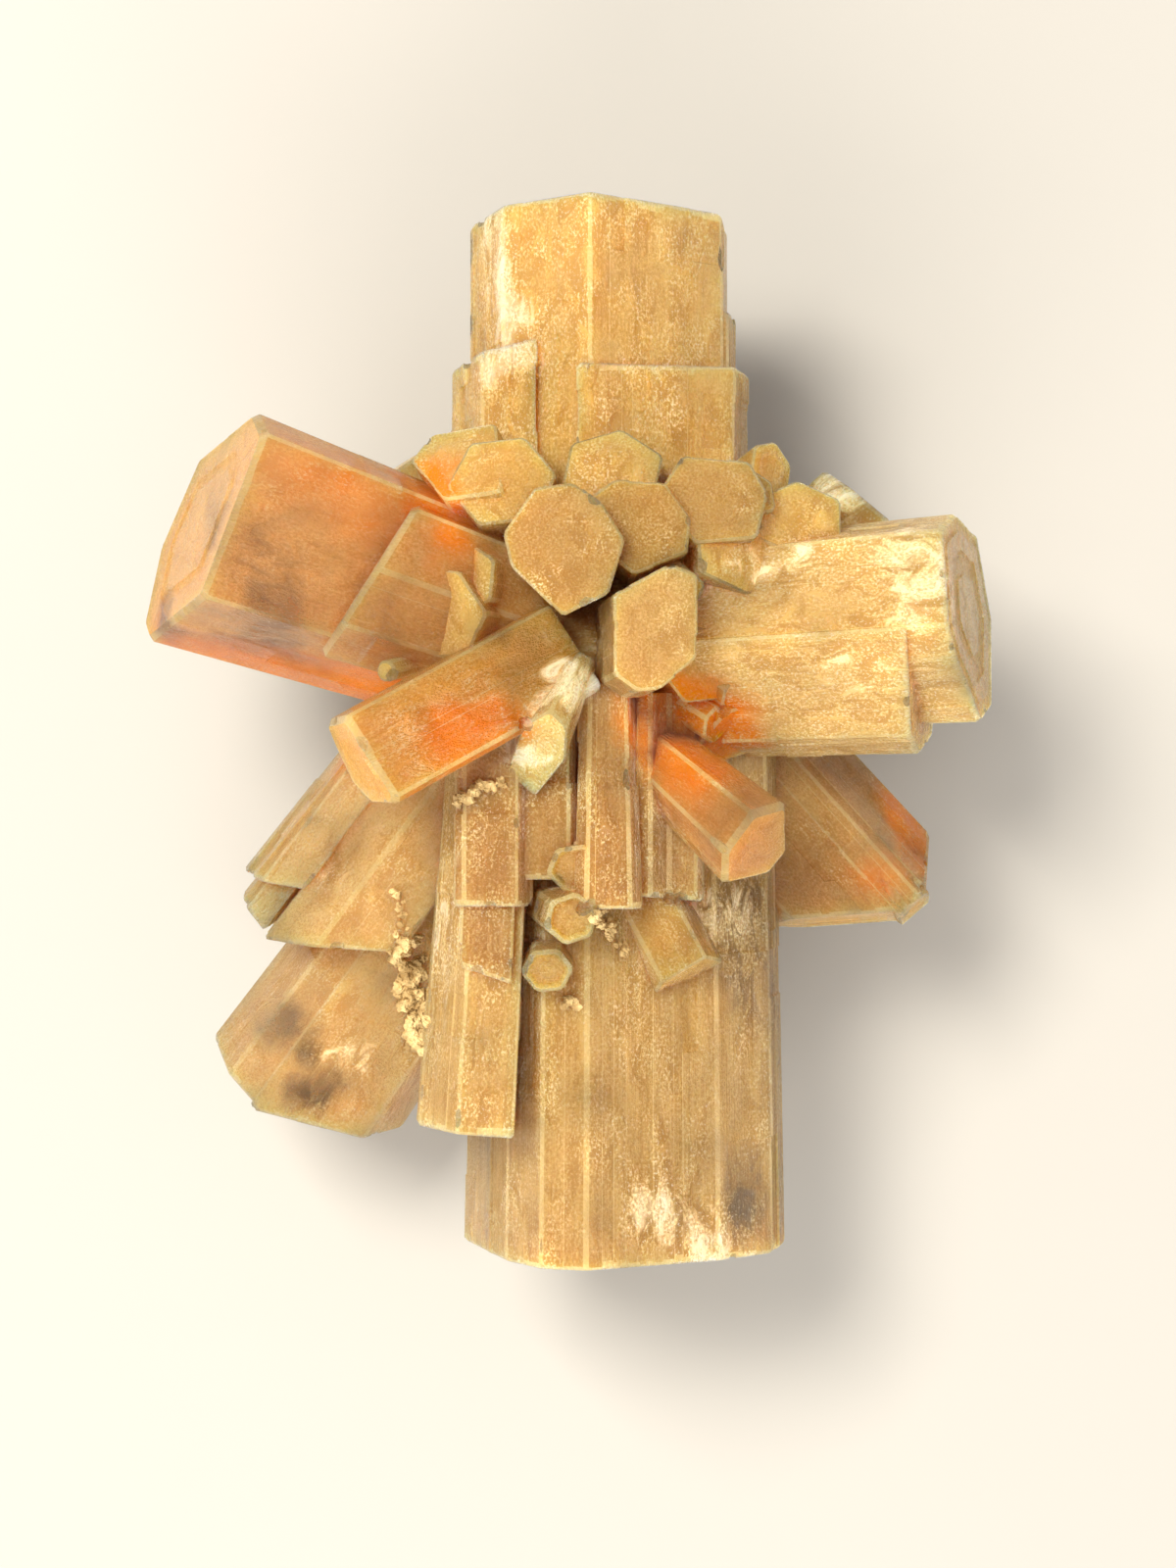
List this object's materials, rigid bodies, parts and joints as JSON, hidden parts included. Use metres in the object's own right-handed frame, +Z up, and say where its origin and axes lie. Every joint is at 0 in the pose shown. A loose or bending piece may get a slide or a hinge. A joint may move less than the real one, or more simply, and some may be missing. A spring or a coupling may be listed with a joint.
{
  "type": "aragonite crystal cluster",
  "caption": "Star-shaped cluster of six-sided, flat-ended aragonite prisms grown together from one core, stepped along their sides and resting on a flat prism end.",
  "frame": {"origin": "on the resting surface, under the middle of the box around the cluster", "axes": "+Z up from the resting face, +Y along the upper arm, +X along the right arm"},
  "size_m": [0.0432, 0.0534, 0.029],
  "materials": {
    "honey_aragonite": "translucent honey to cream crystal with flat, partly frosted faces and orange stains"
  },
  "bodies": {
    "root": {"aragonite_cluster": "honey_aragonite"}
  },
  "joints": []
}
